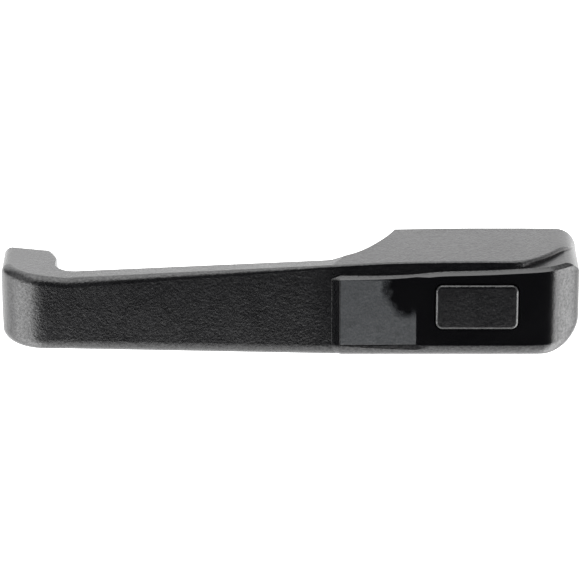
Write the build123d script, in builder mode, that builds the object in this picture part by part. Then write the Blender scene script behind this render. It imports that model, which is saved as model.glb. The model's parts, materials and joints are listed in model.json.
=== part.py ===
from build123d import *
import os

# Exterior car door handle: a fixed grip bar with a push button in its head.
# Origin: on the door skin, midway between the two mounting studs.
# +X runs along the bar to the button end, +Z is up and -Y points away from the door.

# ---- driving dimensions, in millimetres ----
LENGTH = 210.0              # overall length along X
LEFT_END = -103.5           # X of the foot end
RIGHT_END = LEFT_END + LENGTH
BASE_Z = -17.3              # bottom line of the head
HEAD_RISE = 37.0            # top of the head at its right end, above its bottom line
FOOT_DROP = 2.4             # how far the foot's bottom corner stands above that line
BAR_TOP_AT_FOOT = 30.0      # top of the bar where it leaves the foot, above that line
BAR_TOP_AT_HEAD = 35.4      # and where it meets the head
FOOT_TOP = 32.4             # front left corner of the foot's top
FOOT_TOP_AT_DOOR = 29.9     # which falls to this at the door
HEAD_TOP_FALL = 3.7         # fall of the head's top towards the door, where the bar starts
FACE_OUT = 35.1             # door skin to the face of the bar
PANEL_OUT = 36.4            # door skin to the raised panel of the head

STUD_X = 95.0               # half the stud spacing
STUD_R = 3.0
SHANK_R = 2.6               # stud's shank, inside its insert
STUD_TAIL = 20.0            # stud length behind the door skin
INSERT_R = 4.5
INSERT_LENGTH = 16.0

FOOT_WIDTH = 19.5
FOOT_INNER_ROUND = 5.5      # upper inner corner of the foot
FOOT_PLAN_ROUND = 17.0      # front corner of the foot seen from above
END_BLOCK = 24.0            # the foot's block ends here, where the bar starts
BAR_BACK_FOOT = 24.4        # door skin to the back of the bar, beside the foot
BAR_BACK_HEAD = 26.4        # and beside the head
LOWER_ROUND = 4.7
TOP_ROUND_FOOT = 3.0
TOP_ROUND_HEAD = 1.1

HEAD_START = 120.0          # distances along the handle from the foot end
PANEL_START = 123.0
RAMP_END = 150.7
RAMP_BACK = 155.0
RAMP_DEPTH = 0.5
HEAD_BASE = 143.5           # where the head meets the door skin
PANEL_LOWER_ROUND = 5.5
LEDGE = 1.35                # size of the sloping ledge on top of the panel

BUTTON_W = 29.9
BUTTON_H = 17.1
BUTTON_X = LEFT_END + 172.5
BUTTON_Z = BASE_Z + 20.1
BUTTON_PROUD = 1.0
BUTTON_GAP = 0.4            # clearance round the button in its opening
BUTTON_CORNER = 2.6
BUTTON_EDGE = 1.2
FLANGE_MARGIN = 2.0         # button flange beyond the button's sides
FLANGE_THICK = 1.5
SEAL_THICK = 0.8
TRAVEL = 6.0

WALL = 3.3                  # front wall of the head
WALL_INNER = -(PANEL_OUT - WALL)
GASKET = 1.0                # gaskets lie flush in recesses this deep
CAVITY_X0 = LEFT_END + 148.0
CAVITY_X1 = LEFT_END + 191.5
CAVITY_Z0 = BASE_Z + 3.5
CAVITY_Z1 = BASE_Z + 32.5
CAVITY_CENTRE = ((CAVITY_X0 + CAVITY_X1) / 2, (CAVITY_Z0 + CAVITY_Z1) / 2)
CAVITY_SIZE = (CAVITY_X1 - CAVITY_X0, CAVITY_Z1 - CAVITY_Z0)

PLATE_FRONT = -13.0         # guide bracket's plate
PLATE_THICK = 1.5
PLATE_BACK = PLATE_FRONT + PLATE_THICK
SCREW_R = 1.4
SCREW_HEAD_R = 2.6
BOSS_R = 3.3
BOSS_LENGTH = 9.5
BOSS_INSET = 2.9            # boss centre from the cavity's walls
SCREW_LENGTH = 7.0
SCREW_PLACES = [
    (x, z)
    for x in (CAVITY_X0 + BOSS_INSET, CAVITY_X1 - BOSS_INSET)
    for z in (CAVITY_Z0 + BOSS_INSET, CAVITY_Z1 - BOSS_INSET)
]

PLUNGER_R = 3.0
PLUNGER_START = -35.0
PLUNGER_END = -7.5
SLIDE_CLEARANCE = 0.05
BUSHING_R = 4.5
SPRING_OUTER = 6.2
SPRING_INNER = 5.1
SPRING_START = -34.0
ADJUSTER_TIP = -3.0
ADJUSTER_R = 2.0

ARM = 11.0                  # lever pivot to plunger axis
PIVOT_Y = 0.6
PIVOT_Z = BUTTON_Z - ARM
PIN_R = 2.0
HUB_R = 3.9
LEVER_THICK = 2.0
NOSE_R = 1.55               # rolled rib on the lever that the adjuster pushes
NOSE_BACK = 2.0             # its centre line stands this far in front of the pivot
NOSE_HALF = 3.5
EAR_X = 8.25                # plunger axis to the inner face of each ear
EAR_THICK = 1.5
ROD_REACH = 15.0            # pivot to latch rod
ROD_R = 2.05

os.makedirs("parts", exist_ok=True)


def along(distance):
    """X of a point this far from the foot end."""
    return LEFT_END + distance


def above(height):
    """Z of a point this far above the head's bottom line."""
    return BASE_Z + height


def bar_bottom(distance):
    """Z of the bar's sloping bottom edge."""
    return above(FOOT_DROP * (1 - distance / HEAD_START))


def corner_outside(depth, distance, height, radius):
    """Area outside a rounded upper right corner, this far in front of the door skin."""
    x, z = along(distance), above(height)
    with BuildSketch(Plane.XZ.offset(depth)) as area:
        with BuildLine():
            rounded = CenterArc((x - radius, z - radius), radius, 0, 90)
            Polyline(rounded @ 1, (x - radius, z + 4), (x + 4, z + 4), (x + 4, z - radius), rounded @ 0)
        make_face()
    return area.sketch


def finish(part, name):
    """Label a finished piece and write it out."""
    part.label = name
    export_step(part, f"parts/{name}.step")


# ---- outlines shared by the gaskets and their recesses ----
FOOT_CENTRE_X = along(FOOT_WIDTH / 2)
FOOT_CORE_W = 12.6
FOOT_CORE_H = 19.0
FOOT_CORE_DEPTH = 14.0
with BuildSketch() as foot_gasket_outline:
    with Locations((FOOT_CENTRE_X, above(15.7))):
        RectangleRounded(FOOT_WIDTH - 3.2, 23.0, 5.5)
with BuildSketch() as head_gasket_outline:
    with BuildLine():
        Polyline(
            (along(HEAD_BASE + 1.3), BASE_Z + 1.2),
            (RIGHT_END - 1.4, BASE_Z + 1.2),
            (RIGHT_END - 1.4, above(HEAD_RISE - 1.4)),
            (along(HEAD_BASE + 1.3), above(34.6)),
            close=True,
        )
    make_face()
    fillet(head_gasket_outline.vertices().group_by(Axis.X)[-1], radius=7.5)
    with Locations(CAVITY_CENTRE):
        RectangleRounded(*CAVITY_SIZE, radius=2.5, mode=Mode.SUBTRACT)


# ---- handle body: foot, grip bar and hollow head in one moulding ----
with BuildPart() as foot_end:
    with BuildSketch(Plane.XZ):
        with BuildLine():
            Polyline(
                (along(0.8), bar_bottom(END_BLOCK)),
                (along(END_BLOCK), bar_bottom(END_BLOCK)),
                (along(END_BLOCK), above(FOOT_TOP + 1)),
                (along(1.5), above(FOOT_TOP + 1)),
                (LEFT_END, above(FOOT_TOP_AT_DOOR) - 3.0),
                (LEFT_END, above(17.0)),
                close=True,
            )
        make_face()
    extrude(amount=FACE_OUT)
    with BuildSketch(Plane.XY.offset(BASE_Z)):
        with BuildLine():
            side = Line((LEFT_END, 0), (LEFT_END, FOOT_PLAN_ROUND - FACE_OUT))
            corner = JernArc(side @ 1, (0, -1), FOOT_PLAN_ROUND, 90)
            Polyline(corner @ 1, (along(END_BLOCK), -FACE_OUT), (along(END_BLOCK), 0), side @ 0)
        make_face()
    extrude(amount=HEAD_RISE, mode=Mode.INTERSECT)
    # the top falls towards the door and towards the bar
    with BuildSketch(Plane.YZ.offset(LEFT_END)):
        with BuildLine():
            Polyline(
                (-FACE_OUT, above(FOOT_TOP)),
                (0, above(FOOT_TOP_AT_DOOR)),
                (0, above(HEAD_RISE)),
                (-FACE_OUT, above(HEAD_RISE)),
                close=True,
            )
        make_face()
    extrude(amount=END_BLOCK + 1, dir=(END_BLOCK, 0, BAR_TOP_AT_FOOT - FOOT_TOP), mode=Mode.SUBTRACT)
    rim = foot_end.edges().filter_by(lambda e: e.center().Y < -1 and e.center().X < along(END_BLOCK - 1))
    lower_rim = rim.filter_by(lambda e: e.bounding_box().max.Z < above(14))
    fillet(lower_rim, radius=LOWER_ROUND)
    rim = foot_end.edges().filter_by(lambda e: e.center().Y < -1 and e.center().X < along(END_BLOCK - 1))
    upper_rim = rim.filter_by(lambda e: e.bounding_box().min.Z > above(24))
    fillet(upper_rim, radius=TOP_ROUND_FOOT)

with BuildPart() as head_block:
    with BuildSketch(Plane.XZ):
        with BuildLine():
            Polyline(
                (along(HEAD_START), BASE_Z),
                (along(194), BASE_Z),
                (along(194), above(12)),
                (RIGHT_END, above(24)),
                (RIGHT_END, above(HEAD_RISE - 7.5)),
            )
            ThreePointArc(
                (RIGHT_END, above(HEAD_RISE - 7.5)),
                (RIGHT_END - 2.3, above(HEAD_RISE - 2.3)),
                (RIGHT_END - 7.5, above(HEAD_RISE) - 0.12),
            )
            ThreePointArc(
                (RIGHT_END - 7.5, above(HEAD_RISE) - 0.12),
                (along(168), above(HEAD_RISE) - 0.02),
                (along(140), above(HEAD_RISE) - 0.5),
            )
            Polyline(
                (along(140), above(HEAD_RISE) - 0.5),
                (along(HEAD_START), above(BAR_TOP_AT_HEAD)),
                (along(HEAD_START), BASE_Z),
            )
        make_face()
    extrude(amount=FACE_OUT)
    # the front of the head sweeps back to the door at the right
    with BuildSketch(Plane.XY.offset(BASE_Z)):
        with BuildLine():
            face = Line((along(HEAD_START), -FACE_OUT), (along(184.5), -FACE_OUT))
            sweep_back = Spline(
                face @ 1,
                (along(192.1), -32.8),
                (along(200.6), -24.5),
                (along(206.1), -16.5),
                (along(209.9), 0),
                tangents=((1, 0), (0.12, 1)),
            )
            Polyline(sweep_back @ 1, (along(HEAD_START), 0), face @ 0)
        make_face()
    extrude(amount=HEAD_RISE, mode=Mode.INTERSECT)
    front_rim = head_block.edges().filter_by(
        lambda e: e.center().Y < -1 and e.center().X > along(HEAD_START + 1)
    )
    fillet(front_rim.filter_by(lambda e: e.bounding_box().min.Z > above(28)), radius=TOP_ROUND_HEAD)
    fillet(front_rim.filter_by(lambda e: e.bounding_box().max.Z < above(1)), radius=LOWER_ROUND)
    # its top falls towards the door where the bar starts
    with BuildSketch(Plane.YZ.offset(along(HEAD_START))):
        with BuildLine():
            Polyline(
                (TOP_ROUND_HEAD - FACE_OUT, above(BAR_TOP_AT_HEAD)),
                (0, above(BAR_TOP_AT_HEAD - HEAD_TOP_FALL)),
                (0, above(HEAD_RISE + 6)),
                (TOP_ROUND_HEAD - FACE_OUT, above(HEAD_RISE + 6)),
                close=True,
            )
        make_face()
    extrude(amount=22, dir=(1, 0, 0.25), mode=Mode.SUBTRACT)

# the bar joins the two, from the foot's end section to the head's
with BuildPart() as grip_bar:
    loft([foot_end.faces().sort_by(Axis.X)[-1], head_block.faces().sort_by(Axis.X)[0]], ruled=True)

with BuildPart() as panel:
    with BuildSketch(Plane.XZ):
        with BuildLine():
            Polyline(
                (along(HEAD_START), above(30.4 + LEDGE)),
                (along(HEAD_START), BASE_Z),
                (RIGHT_END - 13.5, BASE_Z),
            )
            ThreePointArc(
                (RIGHT_END - 13.5, BASE_Z), (RIGHT_END - 4.1, above(4.2)), (RIGHT_END, above(13.0))
            )
            Line((RIGHT_END, above(13.0)), (RIGHT_END, above(28.5)))
            ThreePointArc(
                (RIGHT_END, above(28.5)), (RIGHT_END - 1.6, above(33.0)), (RIGHT_END - 5.5, above(35.2))
            )
            Spline(
                (RIGHT_END - 5.5, above(35.2)),
                (along(181), above(32.6 + LEDGE)),
                (along(166.5), above(32.1 + LEDGE)),
                (along(159), above(31.85 + LEDGE)),
                (along(150.7), above(31.0 + LEDGE)),
                (along(139), above(30.4 + LEDGE)),
                (along(HEAD_START), above(30.4 + LEDGE)),
                tangents=((-1, -0.04), (-1, 0)),
            )
        make_face()
    extrude(amount=PANEL_OUT)
    with BuildSketch(Plane.XY.offset(BASE_Z)):
        with BuildLine():
            slope = Line((along(HEAD_START), -FACE_OUT), (along(PANEL_START), -PANEL_OUT))
            flat = Line(slope @ 1, (RIGHT_END - 20, -PANEL_OUT))
            corner = Spline(
                flat @ 1,
                (RIGHT_END - 9, 1.5 - PANEL_OUT),
                (RIGHT_END - 2.4, 6.2 - PANEL_OUT),
                (RIGHT_END, 13 - PANEL_OUT),
                tangents=((1, 0), (0, 1)),
            )
            Polyline(corner @ 1, (RIGHT_END, 0), (along(HEAD_START), 0), slope @ 0)
        make_face()
    extrude(amount=HEAD_RISE, mode=Mode.INTERSECT)
    front = panel.edges().filter_by(lambda e: e.center().Y < -1 and e.center().X > along(HEAD_START + 0.5))
    fillet(front.filter_by(lambda e: e.bounding_box().max.Z < above(10)), radius=PANEL_LOWER_ROUND)
    ledge_edges = panel.edges().filter_by(lambda e: e.bounding_box().min.Z > above(28)).filter_by(
        lambda e: e.center().Y < -35 and e.center().X < along(203))
    chamfer(ledge_edges, length=LEDGE)
    # thumb ramp, a shallow wedge that deepens towards the button
    with BuildSketch(Plane.XY.offset(BASE_Z - 1)):
        with BuildLine():
            Polyline(
                (along(PANEL_START), -PANEL_OUT),
                (along(RAMP_END), RAMP_DEPTH - PANEL_OUT),
                (along(RAMP_BACK), -PANEL_OUT),
                (along(RAMP_BACK), -PANEL_OUT - 1),
                (along(PANEL_START), -PANEL_OUT - 1),
                close=True,
            )
        make_face()
    extrude(amount=HEAD_RISE + 2, mode=Mode.SUBTRACT)

with BuildPart() as handle_body:
    add(foot_end.part)
    add(grip_bar.part)
    add(head_block.part)
    add(panel.part)
    # finger space behind the bar, open at the top, the bottom and the door side
    with BuildSketch(Plane.XY.offset(BASE_Z - 1)):
        with BuildLine():
            foot_side = Line((along(FOOT_WIDTH), 1), (along(FOOT_WIDTH), -16))
            foot_curve = Spline(
                foot_side @ 1,
                (along(21.6), -21.6),
                (along(29), -BAR_BACK_FOOT),
                tangents=((0, -1), (1, -0.025)),
            )
            bar_back = Line(foot_curve @ 1, (along(110), -BAR_BACK_HEAD))
            head_curve = Spline(
                bar_back @ 1,
                (along(123.5), -25.4),
                (along(130.2), -21.3),
                (along(137.2), -12.4),
                (along(HEAD_BASE), 0),
                tangents=((1, -0.025), (0.4, 1)),
            )
            Polyline(head_curve @ 1, (along(HEAD_BASE), 1), foot_side @ 0)
        make_face()
    extrude(amount=HEAD_RISE + 2, mode=Mode.SUBTRACT)
    # upper inner corner of the foot, rounded most at the door
    loft(
        [
            corner_outside(0, FOOT_WIDTH, FOOT_TOP_AT_DOOR - 1.2, FOOT_INNER_ROUND),
            corner_outside(22, FOOT_WIDTH + 2.5, FOOT_TOP_AT_DOOR + 0.7, 0.6),
        ],
        ruled=True,
        mode=Mode.SUBTRACT,
    )
    # hollow of the head
    with BuildSketch(Plane.XZ):
        with Locations(CAVITY_CENTRE):
            RectangleRounded(*CAVITY_SIZE, radius=2.5)
    extrude(amount=PANEL_OUT - WALL, mode=Mode.SUBTRACT)
    # screw bosses in the corners of the hollow
    with BuildSketch(Plane.XZ.offset(-PLATE_FRONT)):
        with Locations(*SCREW_PLACES):
            Circle(BOSS_R)
    extrude(amount=BOSS_LENGTH)
    with BuildSketch(Plane.XZ.offset(-PLATE_FRONT)):
        with Locations(*SCREW_PLACES):
            Circle(SCREW_R)
    extrude(amount=SCREW_LENGTH, mode=Mode.SUBTRACT)
    # opening for the button
    with BuildSketch(Plane.XZ.offset(PANEL_OUT - WALL - 1)):
        with Locations((BUTTON_X, BUTTON_Z)):
            RectangleRounded(BUTTON_W + 2 * BUTTON_GAP, BUTTON_H + 2 * BUTTON_GAP, BUTTON_CORNER + BUTTON_GAP)
    extrude(amount=WALL + 3, mode=Mode.SUBTRACT)
    # gasket recesses in the two faces that meet the door
    with BuildSketch(Plane.XZ):
        add(foot_gasket_outline.sketch)
        add(head_gasket_outline.sketch)
    extrude(amount=GASKET, mode=Mode.SUBTRACT)
    # the foot is cored out round its insert
    with BuildSketch(Plane.XZ.offset(GASKET)):
        with Locations((FOOT_CENTRE_X, 0)):
            RectangleRounded(FOOT_CORE_W, FOOT_CORE_H, 3)
        with Locations((-STUD_X, 0)):
            Circle(INSERT_R + 2, mode=Mode.SUBTRACT)
    extrude(amount=FOOT_CORE_DEPTH, mode=Mode.SUBTRACT)
    # bores for the two threaded inserts
    with BuildSketch(Plane.XZ):
        with Locations((-STUD_X, 0), (STUD_X, 0)):
            Circle(INSERT_R)
    extrude(amount=GASKET + INSERT_LENGTH, mode=Mode.SUBTRACT)

finish(handle_body.part, "handle_body")


# ---- push button: a cap with a flange behind the wall and a socket for the plunger ----
FLANGE_FRONT = WALL_INNER + SEAL_THICK
FLANGE_BACK = FLANGE_FRONT + FLANGE_THICK
BUTTON_FRONT = -(PANEL_OUT + BUTTON_PROUD)
BUTTON_SKIN = 2.0
SOCKET_R = 4.7

with BuildPart() as push_button:
    with BuildSketch(Plane.XZ.offset(-FLANGE_BACK)):
        with Locations((BUTTON_X, BUTTON_Z)):
            RectangleRounded(BUTTON_W, BUTTON_H, BUTTON_CORNER)
    extrude(amount=FLANGE_BACK - BUTTON_FRONT)
    fillet(push_button.faces().sort_by(Axis.Y)[0].edges(), radius=BUTTON_EDGE)
    with BuildSketch(Plane.XZ.offset(-FLANGE_BACK)):
        with Locations((BUTTON_X, BUTTON_Z)):
            RectangleRounded(
                BUTTON_W + 2 * FLANGE_MARGIN, BUTTON_H + 2 * FLANGE_MARGIN, BUTTON_CORNER + FLANGE_MARGIN)
    extrude(amount=FLANGE_THICK)
    # hollow back, leaving the skin, the sides and the plunger's socket
    with BuildSketch(Plane.XZ.offset(-FLANGE_BACK)):
        with Locations((BUTTON_X, BUTTON_Z)):
            RectangleRounded(BUTTON_W - 2 * BUTTON_SKIN, BUTTON_H - 2 * BUTTON_SKIN, 1.5)
            Circle(SOCKET_R, mode=Mode.SUBTRACT)
    extrude(amount=FLANGE_BACK - SPRING_START, mode=Mode.SUBTRACT)
    with BuildSketch(Plane.XZ.offset(-FLANGE_BACK)):
        with Locations((BUTTON_X, BUTTON_Z)):
            Circle(PLUNGER_R)
    extrude(amount=FLANGE_BACK - PLUNGER_START, mode=Mode.SUBTRACT)
finish(push_button.part, "push_button")

with BuildPart() as button_seal:
    with BuildSketch(Plane.XZ.offset(-FLANGE_FRONT)):
        with Locations((BUTTON_X, BUTTON_Z)):
            RectangleRounded(
                BUTTON_W + 2 * FLANGE_MARGIN - 0.6, BUTTON_H + 2 * FLANGE_MARGIN - 0.6, BUTTON_CORNER + 1.7)
            RectangleRounded(BUTTON_W, BUTTON_H, BUTTON_CORNER, mode=Mode.SUBTRACT)
    extrude(amount=SEAL_THICK)
finish(button_seal.part, "button_seal")


# ---- plunger and what is on it ----
def on_axis(y):
    """Plane across the plunger's axis at this Y, facing away from the door."""
    return Plane(origin=(BUTTON_X, y, BUTTON_Z), x_dir=(1, 0, 0), z_dir=(0, -1, 0))


def round_piece(start, end, outer, inner=0.0):
    """A rod, or a ring where inner is given, on the plunger's axis."""
    with BuildPart() as piece:
        with BuildSketch(on_axis(end)):
            Circle(outer)
            if inner:
                Circle(inner, mode=Mode.SUBTRACT)
        extrude(amount=end - start)
    return piece


CLIP_START = PLATE_BACK + 0.6
CLIP_THICK = 0.8
GROOVE_R = 2.4
NUT_END = PLUNGER_END + 2.4
ADJUSTER_DEPTH = 8.0

with BuildPart() as plunger:
    with BuildSketch(on_axis(PLUNGER_END)):
        Circle(PLUNGER_R)
    extrude(amount=PLUNGER_END - PLUNGER_START)
    chamfer(plunger.edges().filter_by(GeomType.CIRCLE).sort_by(Axis.Y)[-1], length=0.4)
    with BuildSketch(on_axis(PLUNGER_END)):
        Circle(ADJUSTER_R)
    extrude(amount=ADJUSTER_DEPTH, mode=Mode.SUBTRACT)
    # groove for the retaining clip
    with BuildSketch(on_axis(CLIP_START + CLIP_THICK)):
        Circle(PLUNGER_R)
        Circle(GROOVE_R, mode=Mode.SUBTRACT)
    extrude(amount=CLIP_THICK, mode=Mode.SUBTRACT)
finish(plunger.part, "plunger")

with BuildPart() as plunger_clip:
    with BuildSketch(on_axis(CLIP_START + CLIP_THICK)):
        Circle(5.4)
        Circle(GROOVE_R, mode=Mode.SUBTRACT)
        with Locations((0, -4)):
            Rectangle(2 * GROOVE_R - 0.6, 6, mode=Mode.SUBTRACT)
    extrude(amount=CLIP_THICK)
finish(plunger_clip.part, "plunger_clip")

with BuildPart() as adjuster_nut:
    with BuildSketch(on_axis(NUT_END)):
        RegularPolygon(radius=3.5, side_count=6, major_radius=False)
        Circle(ADJUSTER_R, mode=Mode.SUBTRACT)
    extrude(amount=NUT_END - PLUNGER_END)
finish(adjuster_nut.part, "adjuster_nut")

with BuildPart() as adjuster_screw:
    with BuildSketch(on_axis(NUT_END)):
        Circle(ADJUSTER_R)
    extrude(amount=NUT_END - PLUNGER_END + ADJUSTER_DEPTH)
    with BuildSketch(on_axis(ADJUSTER_TIP)):
        Circle(3.2)
    extrude(amount=ADJUSTER_TIP - NUT_END)
    fillet(adjuster_screw.edges().filter_by(GeomType.CIRCLE).sort_by(Axis.Y)[-1], radius=1.2)
finish(adjuster_screw.part, "adjuster_screw")

SEAT_FRONT = PLATE_FRONT - 1.2 - 0.8
button_spring = round_piece(SPRING_START, SEAT_FRONT, SPRING_OUTER, SPRING_INNER)
finish(button_spring.part, "button_spring")

spring_seat = round_piece(SEAT_FRONT, SEAT_FRONT + 0.8, SPRING_OUTER + 0.9, PLUNGER_R + 0.3)
finish(spring_seat.part, "spring_seat")


# ---- guide bracket, with its bushing and screws ----
with BuildPart() as guide_bushing:
    add(round_piece(PLATE_FRONT, PLATE_BACK, BUSHING_R, PLUNGER_R + SLIDE_CLEARANCE).part)
    add(round_piece(PLATE_FRONT - 1.2, PLATE_FRONT, SPRING_OUTER + 0.4, PLUNGER_R + SLIDE_CLEARANCE).part)
finish(guide_bushing.part, "guide_bushing")

EAR_ROUND = 4.0
BRACKET_SLACK = 0.3         # bracket plate inside the cavity's walls

with BuildPart() as guide_bracket:
    with BuildSketch(Plane.XZ.offset(-PLATE_BACK)):
        with Locations(CAVITY_CENTRE):
            RectangleRounded(CAVITY_SIZE[0] - 2 * BRACKET_SLACK, CAVITY_SIZE[1] - 2 * BRACKET_SLACK, 2.2)
        with Locations((BUTTON_X, BUTTON_Z)):
            Circle(BUSHING_R, mode=Mode.SUBTRACT)
        with Locations(*SCREW_PLACES):
            Circle(SCREW_R + 0.25, mode=Mode.SUBTRACT)
    extrude(amount=PLATE_THICK)
    # two ears bent back from the plate carry the lever's pin
    for side in (-1, 1):
        inner_face = BUTTON_X + side * EAR_X
        outer_face = inner_face + side * EAR_THICK
        with BuildSketch(Plane.YZ.offset(min(inner_face, outer_face))):
            with BuildLine():
                Polyline(
                    (PIVOT_Y, PIVOT_Z - EAR_ROUND),
                    (PLATE_BACK, PIVOT_Z - EAR_ROUND),
                    (PLATE_BACK, PIVOT_Z + EAR_ROUND),
                    (PIVOT_Y, PIVOT_Z + EAR_ROUND),
                )
                ThreePointArc(
                    (PIVOT_Y, PIVOT_Z + EAR_ROUND),
                    (PIVOT_Y + EAR_ROUND, PIVOT_Z),
                    (PIVOT_Y, PIVOT_Z - EAR_ROUND),
                )
            make_face()
            with Locations((PIVOT_Y, PIVOT_Z)):
                Circle(PIN_R, mode=Mode.SUBTRACT)
        extrude(amount=EAR_THICK)
finish(guide_bracket.part, "guide_bracket")

with BuildPart() as bracket_screws:
    with BuildSketch(Plane.XZ.offset(-PLATE_BACK)):
        with Locations(*SCREW_PLACES):
            Circle(SCREW_R)
    extrude(amount=PLATE_THICK + SCREW_LENGTH - 0.5)
    with BuildSketch(Plane.XZ.offset(-PLATE_BACK - 1.8)):
        with Locations(*SCREW_PLACES):
            Circle(SCREW_HEAD_R)
    extrude(amount=1.8)
    fillet(bracket_screws.faces().sort_by(Axis.Y)[-4:].edges(), radius=0.7)
    for x, z in SCREW_PLACES:
        with BuildSketch(Plane.XZ.offset(-PLATE_BACK - 1.8)):
            with Locations((x, z)):
                Rectangle(2.6, 0.6)
                Rectangle(0.6, 2.6)
        extrude(amount=0.9, mode=Mode.SUBTRACT)
finish(bracket_screws.part, "bracket_screws")


# ---- release lever and its pivot ----
def across(x):
    """Plane across the lever's pivot at this X, with its origin on the pivot's axis."""
    return Plane.YZ.offset(x).shift_origin((x, PIVOT_Y, PIVOT_Z))


HUB_HALF = 7.0
HUB_STEP = 2.0              # the hub's thinner length starts here and holds the spring
HUB_THIN_R = 3.1
PAD_HALF = 4.5
PAD_TOP = ARM + 4.0
ARM_X = BUTTON_X - 6.5
BUSH_R = 3.0

with BuildPart() as release_lever:
    with BuildSketch(across(BUTTON_X - HUB_HALF)):
        Circle(HUB_R)
    extrude(amount=HUB_HALF + HUB_STEP)
    with BuildSketch(across(BUTTON_X + HUB_STEP)):
        Circle(HUB_THIN_R)
    extrude(amount=HUB_HALF - HUB_STEP)
    # pad that the plunger pushes
    with BuildSketch(Plane.XZ.offset(-PIVOT_Y - LEVER_THICK / 2).shift_origin(
            (BUTTON_X, PIVOT_Y + LEVER_THICK / 2, PIVOT_Z))) as pad:
        with BuildLine():
            Polyline((-PAD_HALF, PAD_TOP - 2), (-PAD_HALF, 0), (HUB_STEP, 0), (HUB_STEP, HUB_R + 1.5),
                     (PAD_HALF, HUB_R + 3.5), (PAD_HALF, PAD_TOP - 2), (PAD_HALF - 2, PAD_TOP),
                     (2 - PAD_HALF, PAD_TOP), close=True)
        make_face()
    extrude(amount=LEVER_THICK)
    with BuildSketch(across(BUTTON_X - NOSE_HALF)):
        with Locations((-NOSE_BACK, ARM)):
            Circle(NOSE_R)
    extrude(amount=2 * NOSE_HALF)
    # arm that works the latch rod
    with BuildSketch(across(ARM_X)):
        with BuildLine():
            Polyline((0, HUB_R), (0, -HUB_R), (ROD_REACH, -BUSH_R - 2))
            ThreePointArc((ROD_REACH, -BUSH_R - 2), (ROD_REACH + BUSH_R + 2, 0), (ROD_REACH, BUSH_R + 2))
            Line((ROD_REACH, BUSH_R + 2), (0, HUB_R))
        make_face()
        with Locations((ROD_REACH, 0)):
            Circle(BUSH_R, mode=Mode.SUBTRACT)
    extrude(amount=LEVER_THICK)
    with BuildSketch(across(BUTTON_X - HUB_HALF)):
        Circle(PIN_R + SLIDE_CLEARANCE)
    extrude(amount=2 * HUB_HALF, mode=Mode.SUBTRACT)
finish(release_lever.part, "release_lever")

BUSH_LENGTH = 5.0
with BuildPart() as rod_bush:
    with BuildSketch(across(ARM_X)):
        with Locations((ROD_REACH, 0)):
            Circle(BUSH_R)
    extrude(amount=LEVER_THICK)
    for face_x, length in ((ARM_X - 1.0, 1.0), (ARM_X + LEVER_THICK, BUSH_LENGTH - LEVER_THICK - 1.0)):
        with BuildSketch(across(face_x)):
            with Locations((ROD_REACH, 0)):
                Circle(BUSH_R + 1.2)
        extrude(amount=length)
    with BuildSketch(across(ARM_X - 1.0)):
        with Locations((ROD_REACH, 0)):
            Circle(ROD_R)
    extrude(amount=BUSH_LENGTH, mode=Mode.SUBTRACT)
finish(rod_bush.part, "rod_bush")

PIN_START = BUTTON_X - EAR_X - EAR_THICK
PIN_END = BUTTON_X + EAR_X + EAR_THICK + 2.0
PIN_CLIP_X = BUTTON_X + EAR_X + EAR_THICK
PIN_CLIP_THICK = 0.7
with BuildPart() as lever_pin:
    with BuildSketch(across(PIN_START - 1.2)):
        Circle(3.2)
    extrude(amount=1.2)
    fillet(lever_pin.edges().sort_by(Axis.X)[0], radius=0.5)
    with BuildSketch(across(PIN_START)):
        Circle(PIN_R)
    extrude(amount=PIN_END - PIN_START)
    chamfer(lever_pin.edges().sort_by(Axis.X)[-1], length=0.3)
    with BuildSketch(across(PIN_CLIP_X)):
        Circle(PIN_R)
        Circle(1.5, mode=Mode.SUBTRACT)
    extrude(amount=PIN_CLIP_THICK, mode=Mode.SUBTRACT)
finish(lever_pin.part, "lever_pin")

with BuildPart() as lever_pin_clip:
    with BuildSketch(across(PIN_CLIP_X)):
        Circle(4.0)
        Circle(1.5, mode=Mode.SUBTRACT)
        with Locations((0, -3)):
            Rectangle(2.4, 5, mode=Mode.SUBTRACT)
    extrude(amount=PIN_CLIP_THICK)
finish(lever_pin_clip.part, "lever_pin_clip")

WASHER_THICK = 0.8
with BuildPart() as lever_washers:
    for start in (BUTTON_X - EAR_X, BUTTON_X + EAR_X - WASHER_THICK):
        with BuildSketch(across(start)):
            Circle(3.8)
            Circle(PIN_R, mode=Mode.SUBTRACT)
        extrude(amount=WASHER_THICK)
finish(lever_washers.part, "lever_washers")

LEVER_SPRING_R = 4.1
with BuildPart() as lever_spring:
    with BuildSketch(across(BUTTON_X + HUB_STEP + 0.3)):
        Circle(LEVER_SPRING_R)
        Circle(HUB_THIN_R + 0.3, mode=Mode.SUBTRACT)
    extrude(amount=HUB_HALF - HUB_STEP - 0.6)
finish(lever_spring.part, "lever_spring")


# ---- mounting: threaded inserts, studs and gaskets at both ends ----
STUD_DEPTH = 14.0           # stud inside its insert
for end_name, stud_x in (("front", -STUD_X), ("rear", STUD_X)):
    with BuildPart() as insert:
        with BuildSketch(Plane.XZ.offset(GASKET)):
            with Locations((stud_x, 0)):
                Circle(INSERT_R)
                Circle(SHANK_R, mode=Mode.SUBTRACT)
        extrude(amount=INSERT_LENGTH)
    finish(insert.part, f"{end_name}_insert")
    with BuildPart() as stud:
        with BuildSketch(Plane.XZ.offset(-STUD_TAIL)):
            with Locations((stud_x, 0)):
                Circle(STUD_R)
        extrude(amount=STUD_TAIL)
        chamfer(stud.edges().filter_by(GeomType.CIRCLE).sort_by(Axis.Y)[-1], length=0.8)
        with BuildSketch(Plane.XZ):
            with Locations((stud_x, 0)):
                Circle(SHANK_R)
        extrude(amount=GASKET + STUD_DEPTH)
    finish(stud.part, f"{end_name}_stud")

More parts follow.
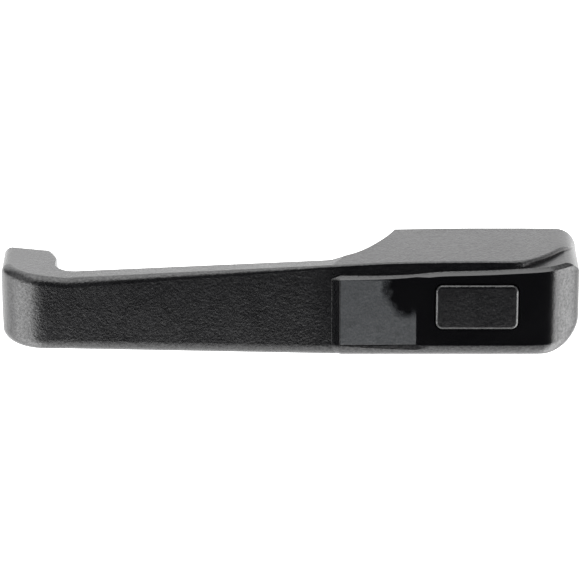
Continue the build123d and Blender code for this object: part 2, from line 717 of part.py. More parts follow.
for end_name, gasket_outline, stud_x in (
        ("front", foot_gasket_outline, -STUD_X), ("rear", head_gasket_outline, STUD_X)):
    with BuildPart() as gasket:
        with BuildSketch(Plane.XZ):
            add(gasket_outline.sketch)
            with Locations((stud_x, 0)):
                Circle(INSERT_R, mode=Mode.SUBTRACT)
        extrude(amount=GASKET)
    finish(gasket.part, f"{end_name}_gasket")
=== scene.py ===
import json
import math

import bmesh
import bpy
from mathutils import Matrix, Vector


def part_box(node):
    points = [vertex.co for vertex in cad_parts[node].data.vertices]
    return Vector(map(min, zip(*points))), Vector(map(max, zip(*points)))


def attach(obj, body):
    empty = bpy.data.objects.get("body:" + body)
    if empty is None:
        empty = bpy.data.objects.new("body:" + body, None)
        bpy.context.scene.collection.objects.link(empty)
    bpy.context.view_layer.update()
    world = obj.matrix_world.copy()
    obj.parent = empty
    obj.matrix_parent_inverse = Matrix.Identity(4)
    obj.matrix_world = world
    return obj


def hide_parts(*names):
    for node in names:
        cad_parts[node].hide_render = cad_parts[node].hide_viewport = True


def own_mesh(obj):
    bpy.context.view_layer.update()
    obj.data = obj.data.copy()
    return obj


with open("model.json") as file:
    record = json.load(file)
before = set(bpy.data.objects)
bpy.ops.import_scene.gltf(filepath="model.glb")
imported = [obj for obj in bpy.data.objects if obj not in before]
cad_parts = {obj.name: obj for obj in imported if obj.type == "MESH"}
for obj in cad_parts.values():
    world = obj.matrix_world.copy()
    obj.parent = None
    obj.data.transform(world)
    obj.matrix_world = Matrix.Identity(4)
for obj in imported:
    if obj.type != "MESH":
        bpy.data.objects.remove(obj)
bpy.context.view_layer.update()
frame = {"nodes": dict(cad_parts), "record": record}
nodes = frame["nodes"]
scene = bpy.context.scene

MM = 0.001
WHITE = (1, 1, 1, 1)


# ---------------------------------------------------------------- camera
ELEVATION = math.radians(21)
DISTANCE = 1500 * MM
SENSOR = 36
VIEW_WIDTH = 209.5 * MM             # width of the picture at the target
TARGET = Vector((1.9, -36.4, 9.0)) * MM

cam_data = bpy.data.cameras.new("camera")
cam_data.sensor_width = SENSOR
cam_data.lens = SENSOR * DISTANCE / VIEW_WIDTH
cam_data.clip_start = 0.01
cam = bpy.data.objects.new("camera", cam_data)
scene.collection.objects.link(cam)
away = Vector((0, -math.cos(ELEVATION), math.sin(ELEVATION)))
cam.location = TARGET + away * DISTANCE
cam.rotation_euler = (-away).to_track_quat("-Z", "Y").to_euler()
scene.camera = cam
scene.view_settings.view_transform = "Standard"


# ---------------------------------------------------------------- material helpers
class Nodes:
    """A short way to write a Principled material's node tree."""

    def __init__(self, name):
        self.mat = bpy.data.materials.new(name)
        self.mat.use_nodes = True
        self.tree = self.mat.node_tree
        self.bsdf = self.tree.nodes["Principled BSDF"]
        coord = self.tree.nodes.new("ShaderNodeTexCoord")
        self.place = coord.outputs["Object"]

    def wire(self, value, socket):
        """Link a socket to another, or put a plain value on it."""
        if isinstance(value, bpy.types.NodeSocket):
            self.tree.links.new(value, socket)
        else:
            socket.default_value = value

    def math(self, op, a, b=0.0, clamp=False):
        n = self.tree.nodes.new("ShaderNodeMath")
        n.operation = op
        n.use_clamp = clamp
        self.wire(a, n.inputs[0])
        self.wire(b, n.inputs[1])
        return n.outputs[0]

    def plus(self, a, b):
        return self.math("ADD", a, b)

    def minus(self, a, b, clamp=False):
        return self.math("SUBTRACT", a, b, clamp)

    def times(self, a, b):
        return self.math("MULTIPLY", a, b)

    def noise(self, scale, detail=3.0, rough=0.5, place=None):
        n = self.tree.nodes.new("ShaderNodeTexNoise")
        n.inputs["Scale"].default_value = scale
        n.inputs["Detail"].default_value = detail
        n.inputs["Roughness"].default_value = rough
        self.wire(place or self.place, n.inputs["Vector"])
        return n.outputs["Fac"]

    def cells(self, scale):
        n = self.tree.nodes.new("ShaderNodeTexVoronoi")
        n.inputs["Scale"].default_value = scale
        self.wire(self.place, n.inputs["Vector"])
        return n.outputs["Distance"]

    def stretched(self, x, y, z):
        n = self.tree.nodes.new("ShaderNodeMapping")
        n.inputs["Scale"].default_value = (x, y, z)
        self.wire(self.place, n.inputs["Vector"])
        return n.outputs[0]

    def split(self):
        n = self.tree.nodes.new("ShaderNodeSeparateXYZ")
        self.wire(self.place, n.inputs[0])
        return n.outputs

    def remap(self, value, a, b, c, d):
        """value from the range a to b onto c to d, and no further."""
        n = self.tree.nodes.new("ShaderNodeMapRange")
        self.wire(value, n.inputs["Value"])
        for key, v in (("From Min", a), ("From Max", b), ("To Min", c), ("To Max", d)):
            self.wire(v, n.inputs[key])
        return n.outputs["Result"]

    def fade(self, value, places, low=0.0, high=1.0):
        """low at the first of two places, high at the second, in mm."""
        return self.remap(value, places[0] * MM, places[1] * MM, low, high)

    def between(self, value, places, soft):
        """1 between two places, falling off over soft at each, in mm."""
        start, end = (p * MM for p in places)
        soft = soft * MM
        up = self.remap(value, start - soft, start + soft, 0.0, 1.0)
        down = self.remap(value, end - soft, end + soft, 1.0, 0.0)
        return self.times(up, down)

    def uneven(self, scale, low, high, detail=3.0, rough=0.5):
        """Noise spread over low to high."""
        return self.remap(self.noise(scale, detail, rough), 0.3, 0.7, low, high)

    def speckle(self, scale, low, high):
        """Fine, rough noise with more contrast than uneven has."""
        return self.remap(self.noise(scale, 3.0, 0.7), 0.35, 0.65, low, high)

    def mix(self, factor, a, b):
        n = self.tree.nodes.new("ShaderNodeMix")
        n.data_type = "RGBA"
        self.wire(factor, n.inputs["Factor"])
        self.wire((*a, 1) if isinstance(a, tuple) else a, n.inputs["A"])
        self.wire((*b, 1) if isinstance(b, tuple) else b, n.inputs["B"])
        return n.outputs["Result"]

    def bump(self, height, distance, strength=1.0):
        n = self.tree.nodes.new("ShaderNodeBump")
        n.inputs["Distance"].default_value = distance
        n.inputs["Strength"].default_value = strength
        self.wire(height, n.inputs["Height"])
        return n.outputs[0]

    def set(self, **values):
        """Set the shader's inputs, written with _ for a space, and give back the material."""
        for key, v in values.items():
            self.wire(v, self.bsdf.inputs[key.replace("_", " ")])
        return self.mat


# ---------------------------------------------------------------- plastics
BODY_DARK = (0.0012, 0.0012, 0.0018)
BODY_LIGHT = (0.0042, 0.0042, 0.0054)
PANEL_TINT = (0.0022, 0.0022, 0.0028)
PAD_DARK = (0.030, 0.0325, 0.0355)
PAD_LIGHT = (0.050, 0.0535, 0.0575)
BUTTON_DARK = (0.002, 0.002, 0.0026)
BUTTON_LIGHT = (0.0055, 0.0055, 0.0066)
PLASTIC_IOR = 1.6
BODY_ROUGH = 0.33
PANEL_ROUGH = 0.15
PAD_ROUGHER = 0.12                  # how much rougher the thumb pad is than the body
SLOPE_SHINE = 0.12                  # share of the shine left on the slope up to the panel
PANEL_GRAIN = 0.06                  # share of the grain left where the plastic is glossy
BODY_GRAIN = 0.13                   # depth of the moulded grain, mm
BUTTON_GRAIN = 0.09

# where the body's finish changes, mm
GLOSS_Y = (-35.9, -34.4)            # the gloss is full in front of the first and gone behind the second
GLOSS_Z = (-12.3, -11.5)            # and it ends at the panel's rounded lower edge
GLOSS_X = (6, 22)                   # along the bar it builds up slowly
PANEL_EDGE_X = (19.4, 20.0)         # and it is full from the panel's left edge on
SLOPE_Y = (-35.18, -35.08)          # the slope from the bar's face up to the panel
SLOPE_X = (16.4, 19.6)
SLOPE_Z = (-12.8, 13.2)
PAD_X = (19.7, 47.0)                # the matt thumb pad
PAD_TOP_Z = (12.9, 13.4)
PATCH_X, PATCH_Z = 48.0, 15.0       # upper right corner of the glossy patch on the pad, whose dark tint is a painted reflection
PATCH_WIDE, PATCH_TALL = 13.0, 15.5
FOOT_END_X = (-99, -86)             # the grain is shallower at the handle's two ends
HEAD_END_X = (93, 100)
BUTTON_RIM_Y = (-37.38, -37.15)     # the button is smoother behind its face, round its edge


def moulded_grain(n, fine, coarse):
    """Height of the moulded skin: small pebbles with a slow unevenness under them."""
    pebbles = n.plus(n.noise(fine, 3.0, 0.65), n.times(n.cells(fine * 0.75), 0.35))
    return n.plus(pebbles, n.times(n.noise(coarse, 2.0), 0.8))


def painted_reflection_patch(n, x, z):
    """Mask of a glossy patch in the upper right of the thumb pad, with a rippled border. The pad's lighter
    tint is left out there, so the patch shows the panel's dark tint as a painted reflection.
    """
    across = n.math("DIVIDE", n.minus(PATCH_X * MM, x), PATCH_WIDE * MM)
    down = n.math("DIVIDE", n.minus(PATCH_Z * MM, z), PATCH_TALL * MM)
    reach = n.plus(n.math("POWER", across, 3.0), n.math("POWER", n.math("MAXIMUM", down, 0.0), 3.0))
    ripple = n.uneven(260, -0.28, 0.28)
    return n.remap(n.plus(reach, ripple), 0.55, 1.25, 1.0, 0.0)


def gloss_and_pad(n, x, y, z):
    """Masks of the glossy face, and of the matt thumb pad within it."""
    ahead = n.times(n.fade(y, GLOSS_Y, 1.0, 0.0), n.fade(z, GLOSS_Z))
    panel = n.times(ahead, n.math("MAXIMUM", n.fade(x, PANEL_EDGE_X), n.fade(x, GLOSS_X)))
    forward = n.remap(ahead, 0.5, 0.7, 0.0, 1.0)
    pad = n.times(forward, n.between(x, PAD_X, 0.25))
    pad = n.times(pad, n.fade(z, PAD_TOP_Z, 1.0, 0.0))
    # the pad's matt finish and lighter tint stop at the patch, which is painted dark as a reflection
    matt = n.minus(pad, n.times(pad, painted_reflection_patch(n, x, z)), clamp=True)
    return n.minus(panel, matt, clamp=True), matt


def body_plastic():
    n = Nodes("black_plastic")
    x, y, z = n.split()
    smooth, matt = gloss_and_pad(n, x, y, z)

    rough = n.remap(smooth, 0.0, 1.0, BODY_ROUGH, PANEL_ROUGH)
    rough = n.plus(rough, n.times(matt, PAD_ROUGHER))
    rough = n.plus(rough, n.uneven(60, -0.02, 0.02))

    blotches = n.uneven(240, 0.0, 1.0, 4.0, 0.6)
    tint = n.mix(blotches, BODY_DARK, BODY_LIGHT)
    tint = n.mix(n.times(smooth, 0.9), tint, PANEL_TINT)
    # the pad's lighter tint, left out on the patch in its upper right: the dark there is a painted
    # reflection
    tint = n.mix(matt, tint, n.mix(blotches, PAD_DARK, PAD_LIGHT))

    # the shine is speckled, evens out to 0.5 where the plastic is glossy, and is weak on the slope
    speckle = n.speckle(1100, 0.34, 0.66)
    speckle = n.plus(n.times(smooth, n.minus(0.5, speckle)), speckle)
    slope = n.times(n.fade(y, SLOPE_Y, 1.0, 0.0), n.between(x, SLOPE_X, 0.4))
    slope = n.times(slope, n.between(z, SLOPE_Z, 0.6))
    shine = n.times(speckle, n.remap(slope, 0.0, 1.0, 1.0, SLOPE_SHINE))

    ends = n.times(n.fade(x, HEAD_END_X, 1.0, 0.3), n.fade(x, FOOT_END_X, 0.4, 1.0))
    height = n.times(moulded_grain(n, 1250, 380), ends)
    height = n.times(height, n.remap(smooth, 0.0, 1.0, 1.0, PANEL_GRAIN))
    return n.set(
        Base_Color=tint,
        Roughness=rough,
        Specular_IOR_Level=shine,
        Normal=n.bump(height, BODY_GRAIN * MM),
        IOR=PLASTIC_IOR,
    )


def button_plastic():
    n = Nodes("button_plastic")
    _, y, _ = n.split()
    return n.set(
        Base_Color=n.mix(n.uneven(500, 0.0, 1.0, 4.0, 0.6), BUTTON_DARK, BUTTON_LIGHT),
        Roughness=n.minus(n.uneven(90, 0.27, 0.33), n.fade(y, BUTTON_RIM_Y, 0.0, 0.08)),
        Specular_IOR_Level=n.speckle(1300, 0.36, 0.64),
        Normal=n.bump(moulded_grain(n, 1400, 500), BUTTON_GRAIN * MM),
        IOR=PLASTIC_IOR,
    )


# ---------------------------------------------------------------- metals, rubber and nylon
NYLON_DARK = (0.27, 0.255, 0.20)
NYLON_LIGHT = (0.37, 0.355, 0.30)


def metal(name, dark, light, rough, grain_scale, brushed=(1, 1, 1), depth=0.004, stain=None):
    """Plated or drawn metal: fine directional scratches, uneven roughness and a mottled tint."""
    n = Nodes(name)
    scratches = n.noise(grain_scale, 4.0, 0.6, n.stretched(*brushed))
    mottle = n.noise(170, 5.0, 0.6)
    tint = n.mix(n.remap(mottle, 0.35, 0.65, 0.0, 1.0), dark, light)
    if stain:
        tint = n.mix(n.remap(n.noise(95, 4.0), 0.52, 0.72, 0.0, 0.6), tint, stain)
    worn = n.plus(n.remap(scratches, 0.3, 0.7, -0.06, 0.08), n.remap(mottle, 0.3, 0.7, -0.04, 0.06))
    return n.set(
        Base_Color=tint,
        Roughness=n.plus(worn, rough),
        Metallic=1.0,
        Normal=n.bump(scratches, depth * MM, 0.7),
    )


def rubber(name, colour, pore, rough):
    """Matt rubber with pores and a dusty bloom."""
    n = Nodes(name)
    bloom = n.remap(n.noise(140, 4.0), 0.4, 0.75, 0.0, 1.0)
    dusty = tuple(c * 1.9 + 0.004 for c in colour)
    height = n.plus(n.remap(n.cells(pore), 0.0, 0.4, 0.0, 1.0), n.noise(pore * 2.3))
    return n.set(
        Base_Color=n.mix(bloom, colour, dusty),
        Roughness=n.remap(bloom, 0.0, 1.0, rough, rough + 0.12),
        Normal=n.bump(height, 0.05 * MM, 0.7),
    )


def nylon():
    """Natural nylon: cloudy and slightly translucent."""
    n = Nodes("bush_nylon")
    cloud = n.remap(n.noise(160, 5.0, 0.6), 0.35, 0.65, 0.0, 1.0)
    return n.set(
        Base_Color=n.mix(cloud, NYLON_DARK, NYLON_LIGHT),
        Roughness=n.uneven(420, 0.38, 0.52),
        Subsurface_Weight=0.15,
        Subsurface_Scale=0.002,
        Normal=n.bump(n.noise(1500), 0.012 * MM, 0.6),
    )


slot_of = {p["node"]: p["material_slot"] for p in frame["record"]["subparts"]}
made = {
    "black_plastic": body_plastic(),
    "button_plastic": button_plastic(),
    "seal_rubber": rubber("seal_rubber", (0.011, 0.011, 0.012), 1500, 0.62),
    "gasket_rubber": rubber("gasket_rubber", (0.022, 0.022, 0.023), 700, 0.74),
    "steel_plunger": metal("steel_plunger", (0.30, 0.30, 0.32), (0.44, 0.44, 0.46), 0.24, 260, (1, 14, 1)),
    "steel_fastener": metal(
        "steel_fastener", (0.20, 0.185, 0.13), (0.33, 0.29, 0.19), 0.30, 420, stain=(0.34, 0.27, 0.29)
    ),
    "steel_pressed": metal(
        "steel_pressed", (0.22, 0.23, 0.245), (0.36, 0.37, 0.385), 0.34, 300, (5, 1, 1), 0.01
    ),
    "spring_steel": metal("spring_steel", (0.16, 0.16, 0.175), (0.28, 0.28, 0.30), 0.30, 500, (1, 1, 5)),
    "insert_brass": metal(
        "insert_brass", (0.36, 0.23, 0.08), (0.50, 0.34, 0.14), 0.28, 360, stain=(0.24, 0.14, 0.06)
    ),
    "bush_nylon": nylon(),
}
for name, o in nodes.items():
    o.data.materials.clear()
    o.data.materials.append(made[slot_of[name]])


# ---------------------------------------------------------------- mesh helpers, all in mm
def piece(name, mesh, material, body, *stands_for, smooth=35):
    """A piece made of (points, faces), riding on body and drawn in place of the nodes it stands for.
    Edges flatter than smooth degrees are shaded smooth."""
    verts, faces = mesh
    me = bpy.data.meshes.new(name)
    me.from_pydata([Vector(v) * MM for v in verts], [], faces)
    me.validate()
    bm = bmesh.new()
    bm.from_mesh(me)
    bmesh.ops.recalc_face_normals(bm, faces=bm.faces)
    for e in bm.edges:
        e.smooth = len(e.link_faces) == 2 and e.calc_face_angle(0) < math.radians(smooth)
    for f in bm.faces:
        f.smooth = True
    bm.to_mesh(me)
    bm.free()
    me.materials.append(made[material])
    o = bpy.data.objects.new(name, me)
    scene.collection.objects.link(o)
    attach(o, body)
    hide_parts(*stands_for)
    return o


def circle(centre, y, radius, sides):
    """Points round centre, an (x, z) place, at one y. radius is a function of the angle."""
    cx, cz = centre
    points = []
    for i in range(sides):
        a = 2 * math.pi * i / sides
        r = radius(a)
        points.append((cx + r * math.cos(a), y, cz + r * math.sin(a)))
    return points


def turned(centre, rows, sides=48, shape=None):
    """A closed piece turned about +Y. rows are (y, radius); shape(angle, y, radius) adds to the radius."""
    cx, cz = centre
    verts, faces = [], []
    for y, r in rows:
        verts += circle(centre, y, lambda a: max(r + (shape(a, y, r) if shape else 0.0), 0.01), sides)
    for k in range(len(rows) - 1):
        for i in range(sides):
            j = (i + 1) % sides
            faces.append((k * sides + i, k * sides + j, (k + 1) * sides + j, (k + 1) * sides + i))
    for k, y in ((0, rows[0][0]), (len(rows) - 1, rows[-1][0])):
        verts.append((cx, y, cz))
        hub = len(verts) - 1
        for i in range(sides):
            faces.append((k * sides + i, k * sides + (i + 1) % sides, hub))
    return verts, faces


def ring(centre, rows, inner, sides=48, shape=None):
    """The same with a straight hole of radius inner through it."""
    verts, faces = turned(centre, rows, sides, shape)
    outer = len(rows) * sides
    verts, faces = verts[:outer], faces[: (len(rows) - 1) * sides]
    for y in (rows[0][0], rows[-1][0]):
        verts += circle(centre, y, lambda a: inner, sides)
    last = (len(rows) - 1) * sides
    for i in range(sides):
        j = (i + 1) % sides
        faces.append((i, j, outer + j, outer + i))
        faces.append((last + i, last + j, outer + sides + j, outer + sides + i))
        faces.append((outer + i, outer + j, outer + sides + j, outer + sides + i))
    return verts, faces


def steps(start, end, step):
    """Evenly spaced places from start to end, about step apart."""
    count = max(int(round(abs(end - start) / step)), 1)
    return [start + (end - start) * i / count for i in range(count + 1)]


def straight(start, end, radius, step):
    """Rows of one radius from start to end."""
    return [(y, radius) for y in steps(start, end, step)]


def clamped(value):
    """value, kept between 0 and 1."""
    return min(max(value, 0), 1)


def thread(pitch, depth, start, end):
    """A radius change that winds a thread between start and end, fading out over 0.6 mm at both."""
    def shape(angle, y, _):
        turn = (y / pitch - angle / (2 * math.pi)) % 1.0
        wave = abs(2 * turn - 1)
        fade = clamped((y - start) / 0.6) * clamped((end - y) / 0.6)
        return -depth * fade * clamped(wave * 1.25 - 0.1)
    return shape


def knurl(depth, count, lead):
    """A radius change that cuts crossing grooves, count of them each way."""
    def shape(angle, y, _):
        a = math.cos(count * angle + y * lead)
        b = math.cos(count * angle - y * lead)
        return -depth * (0.5 - 0.25 * (a + b))
    return shape


def hexagon(flats, top, bottom):
    """A radius change that makes a hexagon, with its corners chamfered at both faces."""
    def shape(angle, y, r):
        turn = (angle + math.pi / 6) % (math.pi / 3) - math.pi / 6
        corner = flats / 2 / math.cos(turn)
        ease = min(y - bottom, top - y)
        return min(corner, flats / 2 + 0.12 + ease * 1.5) - r
    return shape


def coil(turns, radius, along, start_angle=0.0):
    """A coil's points: the place along its axis, from along(turns so far), and two offsets from the axis."""
    points = []
    for i in range(int(turns * COIL_STEPS) + 1):
        t = i / COIL_STEPS
        a = start_angle + 2 * math.pi * t
        points.append((along(t), radius * math.cos(a), radius * math.sin(a)))
    return points


def round_wire(points, radius, sides=10):
    """Round wire along points, with closed ends."""
    verts, faces = [], []
    pts = [Vector(p) for p in points]
    side = None
    for i, p in enumerate(pts):
        d = (pts[min(i + 1, len(pts) - 1)] - pts[max(i - 1, 0)]).normalized()
        if side is None:
            side = d.orthogonal().normalized()
        side = (side - d * side.dot(d)).normalized()
        up = d.cross(side)
        for k in range(sides):
            a = 2 * math.pi * k / sides
            verts.append(tuple(p + radius * (math.cos(a) * side + math.sin(a) * up)))
    for i in range(len(pts) - 1):
        for k in range(sides):
            m = (k + 1) % sides
            faces.append((i * sides + k, i * sides + m, (i + 1) * sides + m, (i + 1) * sides + k))
    faces.append(tuple(reversed(range(sides))))
    faces.append(tuple((len(pts) - 1) * sides + k for k in range(sides)))
    return verts, faces


# ---------------------------------------------------------------- pieces that the CAD only stands in for
BUTTON_AXIS = (69.0, 2.8)           # x and z of the plunger's axis
PLATE_BACK = -11.5                  # back of the guide bracket's plate
STUD_X = 95.0                       # half the stud spacing
SHANK_R = 2.6                       # stud inside its insert
THREAD_R = 2.98                     # stud outside it
INSERT_BORE = 2.62
INSERT_R = 4.45
COIL_STEPS = 28                     # points in one turn of a spring

BUTTON_COIL_R = 5.62
BUTTON_WIRE_R = 0.5
BUTTON_TURNS = 8.0
CLOSED_TURNS = 1.25                 # turns that touch at each end
BUTTON_COIL_START = -33.5
BUTTON_COIL_LENGTH = 18.0

PLUNGER_R = 2.98
ADJUSTER_BORE = 2.0                 # hole for the adjuster, through plunger and lock nut

NUT_ROWS = (-7.5, -7.35, -7.2, -7.0, -6.3, -5.6, -5.4, -5.25, -5.1)
NUT_FLATS = 7.0
ADJUSTER_THREAD_R = 1.95
ADJUSTER_THREAD_END = -5.1
ADJUSTER_HEAD_R = 3.18
HEAD_KNURL_Y = (-4.85, -3.2)

SCREW_HEAD_R = 2.6
SCREW_SHANK_R = 1.36
HEAD_RIM = 0.35                     # height of the straight rim under a screw's dome
CROSS_REACH = 1.55                  # from the screw's axis to the end of an arm of its cross
CROSS_HALF = 0.34                   # half the width of an arm
CROSS_FLOOR = 0.4                   # the recess ends this far above the plate

PIVOT = (0.6, -8.2)                 # y and z of the lever's pin
LEVER_COIL_R = 3.74
LEVER_WIRE_R = 0.33
LEVER_TURNS = 5.25
LEVER_COIL_X = 71.68
LEVER_COIL_LENGTH = 3.66


def studs():
    """A plain shank in the insert, a plain shoulder at the door skin, an M6 thread and a chamfered end."""
    rows = [(-15.0, 2.3), (-14.7, SHANK_R)] + straight(-14.0, -0.1, SHANK_R, 0.6) + [(0.0, THREAD_R)]
    rows += straight(0.2, 19.1, THREAD_R, 0.14) + [(19.6, 2.5), (20.0, 2.15)]
    for name, x in (("front_stud", -STUD_X), ("rear_stud", STUD_X)):
        mesh = turned((x, 0.0), rows, 40, thread(1.0, 0.42, 1.2, 20.4))
        piece(name + "_threaded", mesh, "steel_fastener", "handle", name, smooth=50)


def inserts():
    """Knurled inserts moulded into foot and head."""
    rows = [(-17.0, 4.0), (-16.6, 4.4)] + straight(-16.4, -1.6, INSERT_R, 0.35) + [(-1.4, 4.3), (-1.0, 4.1)]
    for name, x in (("front_insert", -STUD_X), ("rear_insert", STUD_X)):
        mesh = ring((x, 0.0), rows, INSERT_BORE, 64, knurl(0.35, 16, 5.0))
        piece(name + "_knurled", mesh, "insert_brass", "handle", name, smooth=50)


def closed_ends(t):
    """How far the button spring's wire has climbed after t turns."""
    closed_rise = CLOSED_TURNS * 2 * BUTTON_WIRE_R
    if t < CLOSED_TURNS:
        return t * 2 * BUTTON_WIRE_R
    if t > BUTTON_TURNS - CLOSED_TURNS:
        return BUTTON_COIL_LENGTH - (BUTTON_TURNS - t) * 2 * BUTTON_WIRE_R
    share = (t - CLOSED_TURNS) / (BUTTON_TURNS - 2 * CLOSED_TURNS)
    return closed_rise + share * (BUTTON_COIL_LENGTH - 2 * closed_rise)


def compression_spring():
    """The button's spring, drawn at one length with a mesh of its own; the real spring shortens as the
    button is pushed.
    """
    turns = coil(BUTTON_TURNS, BUTTON_COIL_R, closed_ends)
    points = [(BUTTON_AXIS[0] + a, BUTTON_COIL_START + y, BUTTON_AXIS[1] + b) for y, a, b in turns]
    mesh = round_wire(points, BUTTON_WIRE_R)
    button_spring = piece("button_spring_coil", mesh, "spring_steel", "handle", "button_spring", smooth=60)
    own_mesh(button_spring)


def plunger():
    """A turned shaft with chamfered ends, bored for the adjuster."""
    rows = [(-35.0, 2.6), (-34.6, PLUNGER_R)] + straight(-34.0, -8.2, PLUNGER_R, 0.8)
    rows += [(-7.9, PLUNGER_R), (-7.5, 2.6)]
    piece("plunger_turned", ring(BUTTON_AXIS, rows, ADJUSTER_BORE), "steel_plunger", "button", "plunger")


def lock_nut():
    """A hexagon nut on the adjuster's thread."""
    rows = [(y, NUT_FLATS / 2) for y in NUT_ROWS]
    mesh = ring(BUTTON_AXIS, rows, ADJUSTER_BORE, 96, hexagon(NUT_FLATS, NUT_ROWS[-1], NUT_ROWS[0]))
    piece("adjuster_nut_hexagon", mesh, "steel_fastener", "button", "adjuster_nut", smooth=28)


def adjuster():
    """A threaded screw with a knurled head."""
    rows = [(-15.0, 1.6), (-14.7, ADJUSTER_THREAD_R)] + straight(-14.4, -5.15, ADJUSTER_THREAD_R, 0.12)
    rows += [(-5.08, 2.9), (-4.9, ADJUSTER_HEAD_R)] + straight(-4.8, -3.3, ADJUSTER_HEAD_R, 0.2)
    rows += [(-3.1, 3.05), (-3.0, 2.8)]
    screw_thread = thread(0.7, 0.3, -14.6, -5.2)
    head_knurl = knurl(0.22, 20, 6.0)

    def shape(angle, y, r):
        if HEAD_KNURL_Y[0] < y < HEAD_KNURL_Y[1]:
            return head_knurl(angle, y, r)
        return screw_thread(angle, y, r) if y < ADJUSTER_THREAD_END else 0.0

    mesh = turned(BUTTON_AXIS, rows, 48, shape)
    piece("adjuster_screw_threaded", mesh, "steel_fastener", "button", "adjuster_screw", smooth=50)


def bracket_screws():
    """Four screws in one piece: domed heads with a cross recess, on threaded shanks."""
    low, high = (Vector(c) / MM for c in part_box("bracket_screws"))
    rows = [(low.y, 0.9), (low.y + 0.5, SCREW_SHANK_R)]
    rows += straight(low.y + 0.7, PLATE_BACK, SCREW_SHANK_R, 0.16)
    rows += [(PLATE_BACK, 2.56), (PLATE_BACK + HEAD_RIM, 2.58)]
    for r in (2.45, 2.2, 1.9, 1.6, 1.3, 1.0, 0.7, 0.4, 0.15):
        crown = (high.y - PLATE_BACK - HEAD_RIM) * math.sqrt(1 - (r / SCREW_HEAD_R) ** 2)
        rows.append((PLATE_BACK + HEAD_RIM + crown, r))
    verts, faces = [], []
    for x in (low.x + SCREW_HEAD_R, high.x - SCREW_HEAD_R):
        for z in (low.z + SCREW_HEAD_R, high.z - SCREW_HEAD_R):
            v, f = turned((x, z), rows, 64, thread(0.6, 0.3, low.y + 0.4, PLATE_BACK))
            for i, p in enumerate(v):
                a, b = abs(p[0] - x), abs(p[2] - z)
                if p[1] > PLATE_BACK + CROSS_FLOOR and max(a, b) < CROSS_REACH and min(a, b) < CROSS_HALF:
                    v[i] = (p[0], PLATE_BACK + CROSS_FLOOR + 0.25 * max(a, b), p[2])
            faces += [tuple(i + len(verts) for i in q) for q in f]
            verts += v
    piece("bracket_screws_cross", (verts, faces), "steel_fastener", "handle", "bracket_screws", smooth=40)


def torsion_spring():
    """The lever's spring round its hub. Only the coil is drawn, without the two legs."""
    turns = coil(LEVER_TURNS, LEVER_COIL_R, lambda t: LEVER_COIL_LENGTH * t / LEVER_TURNS, math.radians(200))
    points = [(LEVER_COIL_X + x, PIVOT[0] + a, PIVOT[1] + b) for x, a, b in turns]
    mesh = round_wire(points, LEVER_WIRE_R)
    piece("lever_spring_coil", mesh, "spring_steel", "handle", "lever_spring", smooth=60)


studs()
inserts()
compression_spring()
plunger()
lock_nut()
adjuster()
bracket_screws()
torsion_spring()


# ---------------------------------------------------------------- stage, in metres
FLOOR_Z = -0.12
FLOOR_FRONT = -0.2
FLOOR_REACH = 3                     # the floor's half width, and how far it runs behind the object
FLOOR_GLOW = 2.2
CARD_Z = FLOOR_Z + 0.002
LEFT_CARD = 5.2
RIGHT_CARD = 6.5
SURROUND_RADIUS = 6.0
SURROUND_GLOW = 1.05
WORLD_GLOW = 0.02
CENTRE = (0.0, -0.02, 0.0)


def glow(name, strength):
    """A material that shines white."""
    m = bpy.data.materials.new(name)
    m.use_nodes = True
    tree = m.node_tree
    tree.nodes.clear()
    e = tree.nodes.new("ShaderNodeEmission")
    e.inputs["Color"].default_value = WHITE
    e.inputs["Strength"].default_value = strength
    out = tree.nodes.new("ShaderNodeOutputMaterial")
    tree.links.new(e.outputs[0], out.inputs["Surface"])
    return m


def stage_object(name, me, material):
    """An object round the handle that isn't part of it."""
    me.materials.append(material)
    o = bpy.data.objects.new(name, me)
    scene.collection.objects.link(o)
    return o


def sheet(name, corners, material):
    """A flat sheet of the stage with these corners."""
    me = bpy.data.meshes.new(name)
    me.from_pydata(corners, [], [tuple(range(len(corners)))])
    stage_object(name, me, material)


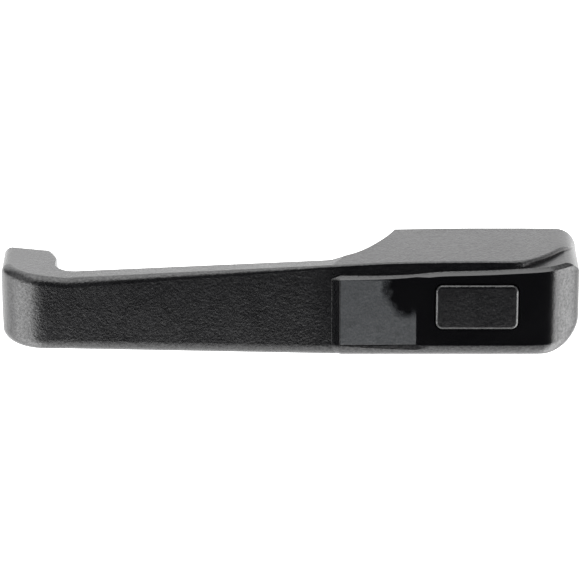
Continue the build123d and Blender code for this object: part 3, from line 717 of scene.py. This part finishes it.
def surround():
    """A white sphere that only the camera sees, so the ground behind the object is plain from every side."""
    bm = bmesh.new()
    bmesh.ops.create_icosphere(bm, subdivisions=3, radius=SURROUND_RADIUS)
    me = bpy.data.meshes.new("surround")
    bm.to_mesh(me)
    bm.free()
    o = stage_object("surround", me, glow("surround_white", SURROUND_GLOW))
    o.visible_diffuse = o.visible_glossy = o.visible_transmission = o.visible_shadow = False


def softbox(name, place, wide, tall, radiance):
    """A soft light at place, turned to the object and unseen by the camera."""
    data = bpy.data.lights.new(name, "AREA")
    data.shape = "RECTANGLE"
    data.size = wide
    data.size_y = tall
    data.energy = radiance * math.pi * wide * tall
    o = bpy.data.objects.new(name, data)
    scene.collection.objects.link(o)
    o.location = place
    o.rotation_euler = (Vector(CENTRE) - Vector(place)).to_track_quat("-Z", "Y").to_euler()
    o.visible_camera = False


sheet(
    "floor",
    [(x, y, FLOOR_Z) for x, y in (
        (-FLOOR_REACH, FLOOR_FRONT),
        (FLOOR_REACH, FLOOR_FRONT),
        (FLOOR_REACH, FLOOR_REACH),
        (-FLOOR_REACH, FLOOR_REACH),
    )],
    glow("floor_white", FLOOR_GLOW),
)

# bright cards lying beside the object: they light its ends and stay out of the way of the top surfaces
LEFT_CORNERS = [(-0.11, -0.07), (-0.40, -0.50), (-0.90, -0.50), (-0.90, -0.03), (-0.11, -0.03)]
RIGHT_CORNERS = [(0.115, -0.05), (0.49, -0.39), (0.90, -0.39), (0.90, -0.01), (0.115, -0.01)]
for name, corners, radiance in (
    ("left_card", LEFT_CORNERS, LEFT_CARD),
    ("right_card", RIGHT_CORNERS, RIGHT_CARD),
):
    sheet(name, [(x, y, CARD_Z) for x, y in corners], glow(name, radiance))

surround()
softbox("back_light", (0, 0.7, 0.35), 1.8, 0.9, 1.75)
softbox("top_light", (0, -0.03, 0.8), 1.0, 1.05, 3.2)
softbox("left_light", (-0.7, -0.25, 0.25), 0.9, 1.2, 1.1)
softbox("right_light", (0.7, -0.2, 0.2), 0.9, 1.0, 1.1)
softbox("right_back_light", (0.75, 0.5, 0.12), 0.6, 0.6, 1.6)

world = bpy.data.worlds.new("studio")
scene.world = world
world.use_nodes = True
background = world.node_tree.nodes["Background"]
background.inputs["Color"].default_value = WHITE
background.inputs["Strength"].default_value = WORLD_GLOW
